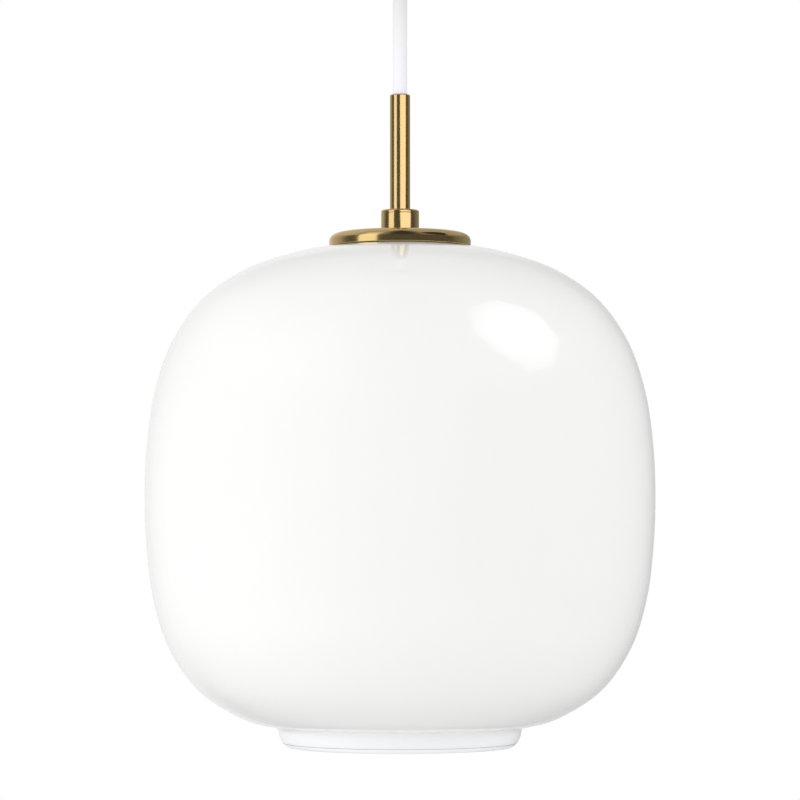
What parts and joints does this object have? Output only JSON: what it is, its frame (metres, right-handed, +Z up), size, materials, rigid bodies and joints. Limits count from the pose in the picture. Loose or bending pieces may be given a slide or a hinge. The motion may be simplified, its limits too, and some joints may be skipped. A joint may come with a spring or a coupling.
{
  "type": "pendant ceiling light",
  "caption": "Pendant light with an open-bottomed opal glass shade clamped under a brass cap, hung on a tube and cord from a ceiling canopy.",
  "frame": {"origin": "middle of the ceiling bracket's upper face, in the plane of the ceiling", "axes": "+Z up along the lamp's axis, the lamp hangs towards -Z; X along the bracket and through the canopy's two side screws; -Y is the front"},
  "size_m": [0.25, 0.25, 0.4337],
  "materials": {
    "satin_brass": "satin, fine circumferential and lengthwise brushing, clear lacquer",
    "opal_glass": "mouth-blown opal glass, glossy, cased white",
    "white_cord": "smooth satin PVC sheath",
    "white_nylon": "moulded, satin",
    "zinc_steel": "zinc plated",
    "silicone": "translucent grey silicone, matte",
    "white_ceramic": "unglazed steatite",
    "holder_plastic": "moulded thermoset, semi-gloss",
    "contact_brass": "bright stamped brass",
    "bulb_cap_metal": "nickel-plated, bright",
    "black_glass": "fused black glass, glossy",
    "bulb_plastic": "moulded, fine satin",
    "bulb_opal": "milky diffusing polycarbonate",
    "led_board": "white solder mask",
    "wire_brown": "PVC insulation",
    "wire_blue": "PVC insulation",
    "wire_green_yellow": "PVC insulation, green and yellow stripes"
  },
  "bodies": {
    "ceiling": {"ceiling_bracket": "zinc_steel", "canopy": "satin_brass", "canopy_screw_left": "satin_brass", "canopy_screw_right": "satin_brass", "terminal_block": "white_nylon", "terminal_screw_1": "contact_brass", "terminal_screw_2": "contact_brass", "terminal_screw_3": "contact_brass", "earth_screw": "contact_brass", "earth_link": "wire_green_yellow", "cord_grip_body": "white_nylon", "cord_grip_nut": "white_nylon", "cord_grip_screw": "zinc_steel", "cord_tail": "white_cord", "conductor_live": "wire_brown", "conductor_neutral": "wire_blue", "conductor_earth": "wire_green_yellow"},
    "hanging_cord": {"cord": "white_cord"},
    "lamp": {"stem_tube": "satin_brass", "stem_collar": "satin_brass", "collar_screw": "zinc_steel", "top_cap": "satin_brass", "gasket_top": "silicone", "glass_shade": "opal_glass", "gasket_bottom": "silicone", "centring_bush": "white_nylon", "clamp_plate": "zinc_steel", "clamp_nut": "zinc_steel", "holder_dome": "holder_plastic", "holder_skirt": "holder_plastic", "holder_core": "white_ceramic", "holder_shell": "contact_brass", "holder_terminal_1": "contact_brass", "holder_terminal_2": "contact_brass", "holder_terminal_3": "contact_brass", "inner_cord": "white_cord", "inner_live": "wire_brown", "inner_neutral": "wire_blue", "inner_earth": "wire_green_yellow"},
    "sprung_contact": {"centre_contact": "contact_brass"},
    "bulb_travelling": {"bulb_tip_contact": "contact_brass"},
    "bulb": {"bulb_screw_cap": "bulb_cap_metal", "bulb_insulator": "black_glass", "bulb_housing": "bulb_plastic", "bulb_led_board": "led_board", "bulb_diffuser": "bulb_opal"}
  },
  "joints": [
    {"name": "cord_swing", "type": "hinge", "parent": "ceiling", "child": "hanging_cord", "pos_m": [0, 0, -0.0615], "axis": [0, 1, 0], "range_deg": [-20, 20]},
    {"name": "lamp_tilt", "type": "hinge", "parent": "hanging_cord", "child": "lamp", "pos_m": [0, 0, -0.1133], "axis": [1, 0, 0], "range_deg": [-8, 8]},
    {"name": "contact_press", "type": "slide", "parent": "lamp", "child": "sprung_contact", "axis": [0, 0, 1], "range_m": [0, 0.001], "stiffness_N_per_m": 1500},
    {"name": "bulb_travel", "type": "slide", "parent": "lamp", "child": "bulb_travelling", "axis": [0, 0, -1], "range_m": [0, 0.0109]},
    {"name": "bulb_turn", "type": "hinge", "parent": "bulb_travelling", "child": "bulb", "pos_m": [0, 0, -0.3104], "axis": [0, 0, -1], "range_deg": [0, 1080]}
  ],
  "couplings": [
    {"joint": "bulb_travel", "follows": "bulb_turn", "m_per_rad": 0.00057773}
  ]
}
